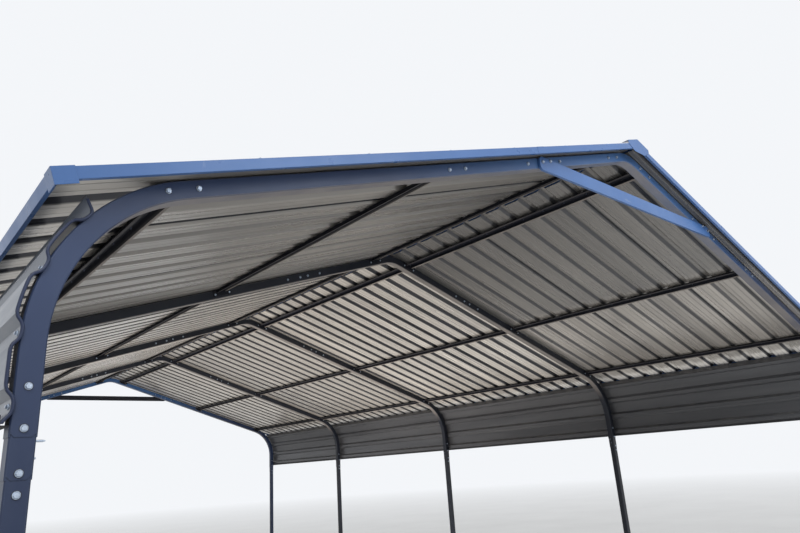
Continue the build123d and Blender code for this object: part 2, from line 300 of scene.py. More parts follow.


# Powder coats, each with its deep tone, its light tone and, where it has one, its painted
# highlight tone at the peak
SLATE_COAT = ((0.018, 0.028, 0.062), (0.036, 0.057, 0.126), (0.058, 0.138, 0.315))
SHADED_FRAME_COAT = ((0.010, 0.012, 0.019), (0.016, 0.019, 0.028))
GUARD_COAT = ((0.011, 0.018, 0.048), (0.018, 0.029, 0.072))
FRAME_BOUNCE = 0.75
GUARD_BOUNCE = 0.05
PAINTED_LIGHT_HEIGHTS = (1.45, 2.0)
PEAK_HIGHLIGHT_HEIGHTS = (2.55, 3.02)


def powder_coat(name, deep, light, peak_highlight=None, bounce_light=FRAME_BOUNCE):
    """Powder coat: orange peel, painted shade low down and painted light higher up with a painted
    highlight at the peak, smears, paler edges, painted bounce light below and dust above.
    """
    shader = Shader(name)
    shader.set(Specular_IOR_Level=0.30, Coat_Weight=0.08, Coat_Roughness=0.3)
    height = shader.axis("Z")
    # Painted light: the coat grows paler with height, and a painted highlight tone takes over at
    # the peak.
    height_light = shader.ramp(height, *PAINTED_LIGHT_HEIGHTS, 0.0, 0.55)
    tone = shader.total([shader.varied(1.6, 5.0, 0.0, 0.45), height_light])
    paint = shader.mix(tone, deep, light)
    paint = shader.mix(shader.ramp(height, *PEAK_HIGHLIGHT_HEIGHTS), paint, peak_highlight or light)
    smear = (0.12, 0.14, 0.18)
    upright = (1.0, 1.0, 0.25)
    paint = shader.marks(
        paint, smear, 0.12, (0.55, 0.80), scale=5.0, detail=6.0, rough=0.6, stretch=upright
    )
    # Painted bounce light on the faces turned down.
    paint = shader.mix(bounce_light_mask(shader, bounce_light), paint, BOUNCE_TONE)
    rounded = shader.rounded_edges(0.003)
    # Paler paint along the rounded edges, broken up by noise.
    edge_patches = shader.ramp(shader.noise(30.0), 0.4, 0.7, 0.1, 0.4)
    paler_edge = shader.math("MULTIPLY", shader.edge_mask(rounded), edge_patches)
    paint = shader.mix(paler_edge, paint, (0.14, 0.18, 0.27))
    paint = dusted(shader, paint, 0.5)
    rough = shader.varied(9.0, 5.0, 0.34, 0.48)
    normal = shader.bump(shader.noise(420.0, 2.0), 0.0002, 0.35, rounded)
    return shader.finish(paint, rough, normal)


# Purlins' flanges that take painted bounce light: depths under the sheets, distances off the
# centre line and the others' share
FLANGE_DEPTHS = (0.012, 0.018)
FLANGE_NEAR = (0.015, 0.020)
FLANGE_FAR = (0.060, 0.050)
OTHER_FLANGES = 0.15


def flange_mask(shader):
    """Where the purlins take painted bounce light: near one on the flanges that lie toward the
    right, and low on the others.
    """
    rise = shader.math("SUBTRACT", shader.axis("Z"), peak_height)
    across = shader.axis("X")
    distance = shader.math("ABSOLUTE", across)
    lift = shader.math("MULTIPLY", rise, cos(PITCH))
    lift = shader.math("ADD", lift, shader.math("MULTIPLY", distance, sin(PITCH)))
    low = shader.ramp(lift, sheet_base - FLANGE_DEPTHS[0], sheet_base - FLANGE_DEPTHS[1])
    along = shader.math("MULTIPLY", distance, cos(PITCH))
    along = shader.math("SUBTRACT", along, shader.math("MULTIPLY", rise, sin(PITCH)))
    along = shader.math("MULTIPLY", along, shader.math("SIGN", across))
    bands = []
    for side in SIDES:
        for purlin in PURLINS:
            off = shader.math("SUBTRACT", along, side * purlin)
            past_near = shader.ramp(off, *FLANGE_NEAR)
            bands.append(shader.math("MULTIPLY", past_near, shader.ramp(off, *FLANGE_FAR)))
    right = shader.math("MULTIPLY", shader.total(bands), 1.0 - OTHER_FLANGES)
    return shader.math("MULTIPLY", low, shader.math("ADD", right, OTHER_FLANGES))


def purlin_paint():
    """Near black coat on the purlins and edge strips, with painted bounce light under the flanges.
    """
    shader = Shader("near_black_coat")
    shader.set(Specular_IOR_Level=0.15)
    paint = shader.mix(shader.varied(2.5, 5.0), (0.010, 0.011, 0.017), (0.020, 0.021, 0.028))
    scuff = (0.10, 0.098, 0.095)
    lengthwise = (1.0, 0.15, 1.0)
    paint = shader.marks(
        paint, scuff, 0.30, (0.60, 0.82), scale=14.0, detail=6.0, rough=0.65, stretch=lengthwise
    )
    # Painted bounce light on the downward faces of the flanges toward the right.
    bounce_light = shader.math("MULTIPLY", bounce_light_mask(shader, 0.85), flange_mask(shader))
    paint = shader.mix(bounce_light, paint, BOUNCE_TONE)
    paint = dusted(shader, paint, 0.45)
    rough = shader.varied(11.0, 4.0, 0.50, 0.66)
    normal = shader.bump(shader.noise(300.0, 2.0), 0.0002, 0.3, shader.rounded_edges(0.0012))
    return shader.finish(paint, rough, normal)


# Ribbed roof sheets: beads, painted shade along the ribs measured from the rib's centre, and
# shares of painted shade on the pans and along the ribs
BEAD_OFFSET = 0.024
BEAD_HALF = 0.007
LEFT_RIB_SHADE = -0.029
FRONT_RIGHT_RIB_SHADE = 0.012
INNER_RIGHT_RIB_SHADE = -0.020
RIB_SHADE_START = (-0.010, 0.004)
RIB_SHADE_END = (0.036, 0.030)
RIDGE_BLEND = 0.01
LINE_BLEND = 0.03
FRONT_LEFT_SHADE = 0.55
FRONT_RIGHT_SHADE = (0.12, 0.68)
INNER_LEFT_SHADE = 0.34
INNER_RIGHT_SHADE = 0.42
FRONT_LEFT_RIB_SHADE_SHARE = 0.30
FRONT_RIGHT_RIB_SHADE_SHARE = 0.85
RIDGE_SHADE = 0.32
BEAD_SHADE = 0.30

# Places where the painted shade on the pans begins and ends, level from the ridge or along the
# length
middle_line = middle_purlin * cos(PITCH)
FRONT_SHADE_SPAN = (middle_line + 0.05, middle_line - 0.12)
INNER_SHADE_START = (second_frame + 1.2, middle_frame + 0.5)
INNER_SHADE_END = (fourth_frame + 0.6, fourth_frame - 0.4)
RIDGE_SHADE_SPAN = (1.1, 0.1)


def rib_turns(shader):
    """Rib pitches along the length, from zero at the first rib's centre."""
    return shader.math("DIVIDE", shader.math("SUBTRACT", shader.axis("Y"), first_rib), rib_pitch)


def bead_height(shader, turns):
    """Two low beads pressed into each pan."""
    past_rib = shader.math("MULTIPLY", shader.math("FRACT", turns), rib_pitch)
    beads = []
    for hand in (-1, 1):
        off = shader.math("SUBTRACT", past_rib, rib_pitch / 2 + hand * BEAD_OFFSET)
        away = shader.math("DIVIDE", shader.math("ABSOLUTE", off), BEAD_HALF)
        beads.append(shader.math("SUBTRACT", 1.0, away, clamp=True))
    return shader.total(beads)


def from_ridge(shader):
    """Level distance from the ridge."""
    return shader.math("ABSOLUTE", shader.axis("X"))


def by_side(shader, left, right):
    """The left number on the left slope and the right value on the right slope."""
    right_side = shader.ramp(shader.axis("X"), -RIDGE_BLEND, RIDGE_BLEND)
    change = shader.math("MULTIPLY", right_side, shader.math("SUBTRACT", right, left))
    return shader.math("ADD", change, left)


def inner_bays(shader):
    """Zero before the second frame and one behind it."""
    return shader.ramp(shader.axis("Y"), second_frame - LINE_BLEND, second_frame + LINE_BLEND)


def front_bay(shader):
    """One before the second frame and between the eave purlins, and zero elsewhere."""
    eave_line = eave_purlin * cos(PITCH)
    eaves = shader.ramp(from_ridge(shader), eave_line - LINE_BLEND, eave_line + LINE_BLEND)
    return shader.math("SUBTRACT", 1.0, shader.math("MAXIMUM", inner_bays(shader), eaves))


def rib_shade_mask(shader, turns):
    """Painted shade along each rib's far flank, wider on the left slope and in the inner bays."""
    half_on = shader.math("FRACT", shader.math("ADD", turns, 0.5))
    off_rib = shader.math("SUBTRACT", shader.math("MULTIPLY", half_on, rib_pitch), rib_pitch / 2)
    right_start = shader.ramp(inner_bays(shader), 0.0, 1.0, FRONT_RIGHT_RIB_SHADE, INNER_RIGHT_RIB_SHADE)
    start = by_side(shader, LEFT_RIB_SHADE, right_start)
    past_start = shader.ramp(shader.math("SUBTRACT", off_rib, start), *RIB_SHADE_START)
    return shader.math("MULTIPLY", past_start, shader.ramp(off_rib, *RIB_SHADE_END))


def front_bay_shade(shader):
    """How much painted shade darkens the front bay's pans, on the right mostly above the middle
    purlin.
    """
    right_shade = shader.ramp(from_ridge(shader), *FRONT_SHADE_SPAN, *FRONT_RIGHT_SHADE)
    return by_side(shader, FRONT_LEFT_SHADE, right_shade)


def inner_bay_shade(shader):
    """How much painted shade darkens the inner bays' pans, on the right mostly in the third bay.
    """
    along = shader.axis("Y")
    rise = shader.ramp(along, *INNER_SHADE_START, 0.0, INNER_RIGHT_SHADE)
    fall = shader.ramp(along, *INNER_SHADE_END)
    return by_side(shader, INNER_LEFT_SHADE, shader.math("MULTIPLY", rise, fall))


def roof_tone(shader, turns):
    """Tone of the sheets: streaks down the slope, a step from pan to pan and broad patches."""
    pan = shader.tree.nodes.new("ShaderNodeTexWhiteNoise")
    pan.noise_dimensions = "1D"
    shader.link(shader.math("FLOOR", turns), pan.inputs["W"])
    streaks = shader.noise(2.2, 1.0, 0.4, (0.15, 6.0, 0.15))
    patches = shader.noise(0.8, 2.0)
    shares = ((streaks, 0.5), (pan.outputs["Value"], 0.3), (patches, 0.6))
    whole = shader.total([shader.math("MULTIPLY", source, share) for source, share in shares])
    return shader.ramp(whole, 0.45, 0.95)


def roof_below(shader, turns, tone, beads):
    """Satin grey underside with painted shade in the beads and along the ribs, over the front bay
    and near its ridge, and in parts of the inner bays, whose pans are painted brighter as light.
    """
    front = front_bay(shader)
    # Painted light and shade: the front bay's pans are darker and the inner bays' pans brighter.
    shaded_front_pans = shader.mix(tone, (0.40, 0.372, 0.340), (0.74, 0.685, 0.620))
    lit_inner_pans = shader.mix(tone, (0.60, 0.565, 0.520), (0.93, 0.875, 0.800))
    # Painted shade on parts of the inner bays.
    lit_inner_pans = shader.mix(inner_bay_shade(shader), lit_inner_pans, (0.29, 0.277, 0.258))
    paint = shader.mix(front, lit_inner_pans, shaded_front_pans)
    # Painted shade over the front bay's pans.
    front_shade = shader.math("MULTIPLY", front, front_bay_shade(shader))
    paint = shader.mix(front_shade, paint, (0.155, 0.153, 0.150))
    near_ridge = shader.ramp(from_ridge(shader), *RIDGE_SHADE_SPAN, 0.0, RIDGE_SHADE)
    paint = shader.mix(shader.math("MULTIPLY", near_ridge, front), paint, (0.10, 0.10, 0.105))
    paint = shader.mix(shader.math("MULTIPLY", beads, BEAD_SHADE), paint, (0.20, 0.19, 0.185))
    # Painted shade along the ribs, fainter in the front bay.
    faint = shader.ramp(
        shader.axis("X"), -RIDGE_BLEND, RIDGE_BLEND, 1.0 - FRONT_LEFT_RIB_SHADE_SHARE, 1.0 - FRONT_RIGHT_RIB_SHADE_SHARE
    )
    strength = shader.math("SUBTRACT", 1.0, shader.math("MULTIPLY", front, faint))
    ribs = shader.math("MULTIPLY", rib_shade_mask(shader, turns), strength)
    return shader.mix(ribs, paint, (0.055, 0.056, 0.064))


def roof_paint():
    """Ribbed roof sheets: satin grey below and dusty slate above."""
    shader = Shader("ribbed_roof_sheet")
    shader.set(Metallic=0.5, Coat_Weight=0.15, Coat_Roughness=0.2)
    turns = rib_turns(shader)
    tone = roof_tone(shader, turns)
    beads = bead_height(shader, turns)
    below = roof_below(shader, turns, tone, beads)
    above = shader.mix(tone, (0.080, 0.105, 0.156), (0.094, 0.122, 0.178))
    above = dusted(shader, above, 0.16)
    paint = shader.mix(shader.ramp(shader.normal_axis("Z"), -0.05, 0.05), below, above)
    rough = shader.varied(2.5, 1.0, 0.22, 0.34, 0.4, (0.2, 4.0, 0.2))
    waves = shader.noise(0.9, 0.0, 0.5, (0.45, 3.0, 0.45))
    normal = shader.bump(beads, 0.0018, 1.0, shader.bump(waves, 0.012, 0.5))
    return shader.finish(paint, rough, normal)


def side_paint():
    """Side panels: dark grey sheet inside and slate outside, with long soft streaks."""
    shader = Shader("dark_grey_side_sheet")
    shader.set(Metallic=0.3, Coat_Weight=0.25, Coat_Roughness=0.15)
    streaks = shader.varied(2.0, 6.0, rough=0.6, stretch=(3.0, 0.3, 5.0))
    inside = shader.mix(streaks, (0.064, 0.066, 0.073), (0.101, 0.103, 0.110))
    outside = shader.mix(streaks, (0.070, 0.088, 0.125), (0.095, 0.118, 0.160))
    outward = shader.math("MULTIPLY", shader.axis("X"), shader.normal_axis("X"))
    paint = shader.mix(shader.ramp(outward, -0.05, 0.05), inside, outside)
    paint = dusted(shader, paint, 0.35)
    rough = shader.varied(5.0, 5.0, 0.30, 0.46, 0.6, (2.0, 0.4, 4.0))
    waves = shader.noise(1.2, 2.0, 0.5, (3.0, 0.6, 3.0))
    normal = shader.bump(waves, 0.005, 0.3, shader.rounded_edges(0.004))
    normal = shader.bump(shader.noise(260.0, 2.0), 0.0001, 0.3, normal)
    return shader.finish(paint, rough, normal)


# Span of a noise over which scratches come up
SCRATCHES = (0.70, 0.78)


def trim_paint():
    """Bent sheet trims: slate blue gloss with soft waves and pale scratches."""
    shader = Shader("slate_blue_trim")
    shader.set(Specular_IOR_Level=0.3, Coat_Weight=0.1, Coat_Roughness=0.2)
    paint = shader.mix(shader.varied(1.2, 5.0), (0.056, 0.127, 0.304), (0.079, 0.166, 0.384))
    scratch = (0.45, 0.48, 0.52)
    upright = (1.0, 1.0, 0.12)
    paint = shader.marks(
        paint, scratch, 0.5, SCRATCHES, scale=28.0, detail=4.0, rough=0.5, stretch=upright
    )
    paint = dusted(shader, paint, 0.30)
    rough = shader.varied(8.0, 5.0, 0.24, 0.40)
    normal = shader.bump(shader.noise(2.2, 2.0), 0.003, 0.3, shader.rounded_edges(0.0025))
    return shader.finish(paint, rough, normal)


def sky_lit_tie_paint():
    """Slate blue on the gable ties, painted paler as sky light, with painted shade near black
    inside the tray, and fine scratches.
    """
    shader = Shader("sky_lit_slate_tie")
    shader.set(Specular_IOR_Level=0.4, Coat_Weight=0.2, Coat_Roughness=0.25)
    paint = shader.mix(shader.varied(2.4, 5.0), (0.048, 0.122, 0.310), (0.066, 0.156, 0.375))
    scratch = (0.42, 0.46, 0.52)
    lengthwise = (0.12, 1.0, 1.0)
    paint = shader.marks(
        paint, scratch, 0.4, SCRATCHES, scale=36.0, detail=4.0, rough=0.5, stretch=lengthwise
    )
    # Painted shade: the faces turned in toward the middle are near black.
    outward = shader.math("MULTIPLY", shader.axis("Y"), shader.normal_axis("Y"))
    paint = shader.mix(shader.ramp(outward, -2.0, -3.0), paint, (0.012, 0.014, 0.022))
    paint = dusted(shader, paint, 0.35)
    rough = shader.varied(10.0, 5.0, 0.30, 0.45)
    normal = shader.bump(shader.noise(380.0, 2.0), 0.0002, 0.3, shader.rounded_edges(0.002))
    return shader.finish(paint, rough, normal)


def zinc():
    """Bright zinc on bolts, nuts, washers and screws."""
    shader = Shader("bright_zinc")
    shader.set(Metallic=0.75)
    metal = shader.mix(shader.varied(90.0, 4.0), (0.35, 0.41, 0.50), (0.54, 0.62, 0.74))
    spot = (0.33, 0.30, 0.27)
    metal = shader.marks(metal, spot, 0.4, (0.62, 0.72), scale=160.0, detail=5.0)
    rough = shader.varied(200.0, 3.0, 0.24, 0.42)
    normal = shader.bump(shader.noise(700.0, 2.0), 0.0001, 0.3)
    return shader.finish(metal, rough, normal)


def seal_and_shadow_black():
    """Dusty black of the rings under the bolt heads, and of the lap seals, which also stand in for
    the shadow in each lap's gap.
    """
    shader = Shader("black_seal_and_shadow")
    shader.set(Specular_IOR_Level=0.35)
    colour = shader.mix(shader.varied(35.0, 5.0), (0.012, 0.013, 0.016), (0.028, 0.029, 0.034))
    colour = dusted(shader, colour, 0.35)
    rough = shader.varied(60.0, 3.0, 0.48, 0.66)
    normal = shader.bump(shader.noise(500.0, 3.0), 0.0002, 0.4)
    return shader.finish(colour, rough, normal)


def weld_and_point_shade():
    """Rippled dark slate of the weld beads, and of the roof screws' points as painted shade."""
    shader = Shader("coated_weld_and_point_shade")
    shader.set(Coat_Weight=0.3, Coat_Roughness=0.3)
    colour = shader.mix(shader.varied(60.0, 5.0), (0.040, 0.050, 0.080), (0.075, 0.088, 0.125))
    rough = shader.varied(120.0, 3.0, 0.4, 0.6)
    normal = shader.bump(shader.noise(240.0, 3.0), 0.0008, 0.6)
    return shader.finish(colour, rough, normal)


PAINTS = {
    "frame_paint": powder_coat("slate_powder_coat", *SLATE_COAT),
    "purlin_paint": purlin_paint(),
    "roof_sheet": roof_paint(),
    "side_sheet": side_paint(),
    "trim_paint": trim_paint(),
}
# The gable ties take a paler slate blue than the frames: painted light from the sky.
SKY_LIT_TIE_PAINT = sky_lit_tie_paint()
# The frames between the gables take a darker copy of the frame coat: painted shade.
SHADED_INNER_PAINT = powder_coat("shaded_inner_frame_coat", *SHADED_FRAME_COAT)
GUARD_PAINT = powder_coat("slate_edge_guard", *GUARD_COAT, bounce_light=GUARD_BOUNCE)
ZINC = zinc()
SEAL_AND_SHADOW_BLACK = seal_and_shadow_black()
WELD_AND_POINT_SHADE = weld_and_point_shade()


def node_paint(name, slot):
    """Finish of a CAD node: its slot's, apart from the ties, which take a paler slate as painted
    light, and the frames between the gables, which take a darker copy of the frame coat as painted
    shade.
    """
    if name.endswith("gable_tie"):
        return SKY_LIT_TIE_PAINT
    if slot == "frame_paint" and name.split("_")[0] in INNER_FRAMES:
        return SHADED_INNER_PAINT
    return PAINTS[slot]


def paint_frame():
    """Gives every CAD node its finish."""
    slots = {part["node"]: part["material_slot"] for part in frame["record"]["subparts"]}
    for name, node in frame["nodes"].items():
        node.data.materials.clear()
        node.data.materials.append(node_paint(name, slots[name]))


# Mesh helpers
def settle(piece):
    """Puts a finished piece on the one body."""
    bpy.context.scene.collection.objects.link(piece)
    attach(piece, "root")


def add_piece(name, shape, material, smooth=False):
    """New mesh piece on the one body, from its vertices and faces."""
    vertices, faces = shape
    mesh = bpy.data.meshes.new(name)
    mesh.from_pydata([tuple(vertex) for vertex in vertices], [], faces)
    mesh.materials.append(material)
    if smooth:
        mesh.shade_smooth()
    mesh.update()
    settle(bpy.data.objects.new(name, mesh))


def peg(radii, heights, sides):
    """Peg about Z from its radius and top radius, and its base, shoulder and top heights."""
    radius, top_radius = radii
    vertices, faces = [], []
    for reach, height in zip((radius, radius, top_radius), heights):
        for step in range(sides):
            angle = 2 * pi * step / sides
            vertices.append(Vector((reach * cos(angle), reach * sin(angle), height)))
    for low in (0, sides):
        high = low + sides
        for step in range(sides):
            following = (step + 1) % sides
            faces.append((low + step, low + following, high + following, high + step))
    faces.append(tuple(range(2 * sides, 3 * sides)))
    return vertices, faces


def together(*shapes):
    """Several (vertices, faces) joined into one."""
    vertices, faces = [], []
    for more_vertices, more_faces in shapes:
        start = len(vertices)
        vertices += more_vertices
        faces += [tuple(start + index for index in face) for face in more_faces]
    return vertices, faces


def placed(shape, places):
    """The shape repeated at each matrix."""
    vertices, faces = shape
    return together(*[([place @ vertex for vertex in vertices], faces) for place in places])


def facing(point, outward):
    """Matrix at the point whose Z looks along outward."""
    turn = Vector(outward).to_track_quat("Z", "Y").to_matrix().to_4x4()
    return Matrix.Translation(point) @ turn


# Bolts and nuts, with shoulders as shares of the height and tops as shares of the width
WASHER_THICKNESS = 0.0016
WASHER_SHOULDER = 0.7
WASHER_TOP = 0.94
HEAD_HEIGHT = 0.0053
HEAD_SHOULDER = 0.8
HEAD_TOP = 0.86
STUB_RADIUS = 0.30
STUB_SHOULDER = 0.8
STUB_TOP = 0.24

# Roofing screws: radii, and heights above the sheet
SCREW_SEAL_RADII = (0.0075, 0.0060)
SCREW_HEAD_RADII = (0.0044, 0.0036)
SCREW_SEAL_SHOULDER = 0.0008
SCREW_SEAL_HEIGHT = 0.0022
SCREW_HEAD_SHOULDER = 0.0058
SCREW_HEAD_HEIGHT = 0.0066


def hex_bolt(across, washer_radius):
    """Hexagon head with a chamfered top on a flat washer."""
    washer = WASHER_THICKNESS
    shoulder = washer + HEAD_HEIGHT * HEAD_SHOULDER
    corner = across / 2 / cos(pi / 6)
    washer_radii = (washer_radius, washer_radius * WASHER_TOP)
    plate = peg(washer_radii, (0.0, washer * WASHER_SHOULDER, washer), sides=20)
    hexagon = peg((corner, corner * HEAD_TOP), (washer, shoulder, washer + HEAD_HEIGHT), sides=6)
    return together(plate, hexagon)


def hex_nut(across, washer_radius, stub):
    """Nut on a washer with the bolt's end standing out of it."""
    base = WASHER_THICKNESS + HEAD_HEIGHT
    radii = (across * STUB_RADIUS, across * STUB_TOP)
    end = peg(radii, (base, base + stub * STUB_SHOULDER, base + stub), sides=10)
    return together(hex_bolt(across, washer_radius), end)


def sheet_screw():
    """Hex head roofing screw on a domed sealing washer."""
    seal = peg(SCREW_SEAL_RADII, (0.0, SCREW_SEAL_SHOULDER, SCREW_SEAL_HEIGHT), sides=14)
    heights = (SCREW_SEAL_HEIGHT, SCREW_HEAD_SHOULDER, SCREW_HEAD_HEIGHT)
    return together(seal, peg(SCREW_HEAD_RADII, heights, sides=6))


# Bolts in the frames
BOLT_ACROSS = 0.0125
BOLT_WASHER = 0.0085
BOLT_STUB = 0.007
RING_RADII = (0.0098, 0.00931)
RING_SHOULDER = 0.00042
RING_THICKNESS = 0.0007
TAB_BOLT_OFFSET = 0.052
EAVE_BOLT_OFFSET = 0.046
SPLICE_NEAR_BOLT = 0.0345
SPLICE_FAR_BOLT = 0.1465
LEG_BOLT_HEIGHTS = (0.110, 0.019, -0.075, -0.119)

# Pairs of bolts through a rafter: middle, distance off it, and whether they hold a gable's tie
BOLT_PAIRS = (
    (ridge_purlin, TAB_BOLT_OFFSET, False),
    (middle_purlin, TAB_BOLT_OFFSET, False),
    (eave_purlin, EAVE_BOLT_OFFSET, False),
    (SPLICE_DISTANCE, SPLICE_NEAR_BOLT, True),
    (SPLICE_DISTANCE, SPLICE_FAR_BOLT, False),
)


def rafter_bolts(is_gable):
    """Distance down the slope of each bolt through a rafter, and how far out its head sits."""
    for middle, offset, holds_tie in BOLT_PAIRS:
        reach = tube / 2 + (TIE_DEPTH if is_gable and holds_tie else 0.0)
        for distance in (middle - offset, middle + offset):
            yield distance, reach


def bolt_inset(height):
    """How far the tube's face stands in at that height above the tongue's end."""
    if height > 0:
        return 0.0
    if height > -SLEEVE_LENGTH:
        return JOINT_STEP
    return 2 * JOINT_STEP


def frame_bolts():
    """Heads on the outer faces and nuts on the inner faces of every frame."""
    heads, nuts = [], []
    for y in frame_places:
        is_gable = y in (frame_places[0], frame_places[-1])
        outward = 1 if y == frame_places[-1] else -1
        for side in SIDES:
            for distance, reach in rafter_bolts(is_gable):
                outer = on_slope(side, distance, 0.0, y + outward * reach)
                inner = on_slope(side, distance, 0.0, y - outward * tube / 2)
                heads.append(facing(outer, (0, outward, 0)))
                nuts.append(facing(inner, (0, -outward, 0)))
            for height in LEG_BOLT_HEIGHTS:
                middle = Vector((side * leg_x, y, joint_height + height))
                reach = Vector((0, outward * (tube / 2 - bolt_inset(height)), 0))
                heads.append(facing(middle + reach, (0, outward, 0)))
                nuts.append(facing(middle - reach, (0, -outward, 0)))
    ring = peg(RING_RADII, (0.0, RING_SHOULDER, RING_THICKNESS), sides=24)
    nut = hex_nut(BOLT_ACROSS, BOLT_WASHER, BOLT_STUB)
    # Dark rings under the bolt heads.
    add_piece("frame_bolt_dark_rings", placed(ring, heads), SEAL_AND_SHADOW_BLACK)
    add_piece("frame_bolt_heads", placed(hex_bolt(BOLT_ACROSS, BOLT_WASHER), heads), ZINC)
    add_piece("frame_bolt_nuts", placed(nut, nuts), ZINC)


# Heights from the tongue's end and lengths of the screw ends on the legs
STUDS = ((-0.007, 0.024), (-0.044, 0.008))
STUD_RADII = (0.0028, 0.00084)
STUD_SHOULDER = 0.75


def leg_studs():
    """Screw ends that stand out of the legs' inner faces under the tongues."""
    shapes = []
    for side, y in leg_places:
        inner = side * (leg_x - tube / 2 + JOINT_STEP)
        for height, length in STUDS:
            place = facing(Vector((inner, y, joint_height + height)), (-side, 0, 0))
            stud = peg(STUD_RADII, (0.0, length * STUD_SHOULDER, length), sides=10)
            shapes.append(placed(stud, [place]))
    add_piece("leg_screw_ends", together(*shapes), ZINC)


# Feet
ANCHOR_ACROSS = 0.018
ANCHOR_WASHER = 0.014
ANCHOR_STUB = 0.012
WELD_RADIUS = 0.003
WELD_STEPS = 10
WELD_SIDES = 8
WELD_SWELL = 0.12
WELD_RIPPLE = 2.4


def foot_anchors():
    """Anchor bolts through the foot plates."""
    anchor = hex_nut(ANCHOR_ACROSS, ANCHOR_WASHER, ANCHOR_STUB)
    places = []
    for side, y in leg_places:
        spot = Vector((side * (leg_x - ANCHOR_INSET), y, FOOT_THICKNESS))
        places.append(facing(spot, (0, 0, 1)))
    add_piece("foot_anchor_bolts", placed(anchor, places), ZINC)


def square_path(half):
    """Evenly spaced points round a level square."""
    corners = [Vector((x, y, 0)) * half for x, y in ((-1, -1), (1, -1), (1, 1), (-1, 1))]
    path = []
    for corner, following in zip(corners, corners[1:] + corners[:1]):
        edge = following - corner
        path += [corner + edge * (step / WELD_STEPS) for step in range(WELD_STEPS)]
    return path


def weld_bead():
    """Rippled bead round the bottom of one leg."""
    path = square_path(tube / 2 - 2 * JOINT_STEP + WELD_RADIUS * 0.5)
    vertices, faces = [], []
    for index, point in enumerate(path):
        swell = WELD_RADIUS * (1.0 + WELD_SWELL * sin(index * WELD_RIPPLE))
        outward = point.normalized()
        for turn in range(WELD_SIDES):
            angle = 2 * pi * turn / WELD_SIDES
            rise = Vector((0, 0, swell * sin(angle)))
            vertices.append(point + outward * swell * cos(angle) + rise)
        near = index * WELD_SIDES
        far = (index + 1) % len(path) * WELD_SIDES
        for turn in range(WELD_SIDES):
            following = (turn + 1) % WELD_SIDES
            faces.append((near + turn, far + turn, far + following, near + following))
    return vertices, faces


def foot_welds():
    """Weld bead round the bottom of each leg."""
    places = [Matrix.Translation((side * leg_x, y, FOOT_THICKNESS)) for side, y in leg_places]
    add_piece("foot_welds", placed(weld_bead(), places), WELD_AND_POINT_SHADE, smooth=True)


# Screws in the sheets and trims
SCREW_OFF_RIB = 0.045
TRIM_SCREW_SPACING = 0.45
RIDGE_SCREW_INSET = 0.020
POINT_RADII = (0.0030, 0.0008)
POINT_SHANK = 0.009
POINT_LENGTH = 0.014


def purlin_screw_places(lift, way):
    """Place beside each rib on each purlin, facing up or down off the slope."""
    places = []
    for side in SIDES:
        outward = (way * side * sin(PITCH), 0, way * cos(PITCH))
        for index in range(1, RIB_COUNT):
            for distance in PURLINS:
                spot = on_slope(side, distance, lift, rib_place(index) - SCREW_OFF_RIB)
                places.append(facing(spot, outward))
    return places


def screw_ends():
    """Points of the roof screws inside the hollow purlins."""
    point = peg(POINT_RADII, (0.0, POINT_SHANK, POINT_LENGTH), sides=8)
    places = purlin_screw_places(sheet_base - PURLIN_WALL, -1)
    # The screws' points take the dark weld coat as painted shade.
    add_piece("roof_screw_ends", placed(point, places), WELD_AND_POINT_SHADE)


def trim_screw_places():
    """Places along the ridge cap and eave trims on every other rib, and along the rake trims."""
    places = []
    for side in SIDES:
        spots = []
        for index in range(1, RIB_COUNT - 1, 2):
            spots.append((RIDGE_WING - RIDGE_SCREW_INSET, rib_place(index)))
            spots.append((eave_end - TRIM_TOP / 2, rib_place(index)))
        for y in (rib_place(0), rib_place(RIB_COUNT - 1)):
            distance = RIDGE_WING + TRIM_SCREW_SPACING / 2
            while distance < eave_end - TRIM_SCREW_SPACING / 2:
                spots.append((distance, y))
                distance += TRIM_SCREW_SPACING
        outward = (side * sin(PITCH), 0, cos(PITCH))
        places += [facing(on_slope(side, down, trim_roof, y), outward) for down, y in spots]
    return places


def roof_screws():
    """Screws through the roof sheets into the purlins, and through the trims and ridge cap."""
    places = purlin_screw_places(sheet_base + SHEET_THICKNESS, 1) + trim_screw_places()
    add_piece("roof_screws", placed(sheet_screw(), places), ZINC)


# Side panels
GUARD_RADIUS = 0.0042
GUARD_INSET = 0.0034
GUARD_SINK = 0.0020
GUARD_CORNER = 0.006
GUARD_CORNER_SHARE = 0.4
LONG_RUN = 0.06


def panel_angle(run):
    """How far up the right panel faces at that distance down from its top lip."""
    return max(0.0, (PANEL_RISE - run) / (EAVE_RADIUS + tube / 2))


def panel_place(side, run, lift, y):
    """Point on a side panel at that distance down from its top lip and lift off the tubes."""
    reach = EAVE_RADIUS + tube / 2 + lift
    angle = panel_angle(run)
    x = bend_centre[0] + reach * cos(angle)
    z = bend_centre[1] + reach * sin(angle) - max(0.0, run - PANEL_RISE)
    return Vector((side * x, y, z))


def panel_screws():
    """Screws through the valleys of the side panels into each frame."""
    places = []
    for side in SIDES:
        for y in frame_places:
            for index in range(PANEL_VALLEYS):
                run = PANEL_LIP_RUN + index * PANEL_PITCH + PANEL_VALLEY / 2
                angle = panel_angle(run)
                spot = panel_place(side, run, PANEL_GAP + PANEL_THICKNESS, y)
                places.append(facing(spot, (side * cos(angle), 0, sin(angle))))
    add_piece("side_panel_screws", placed(sheet_screw(), places), ZINC)


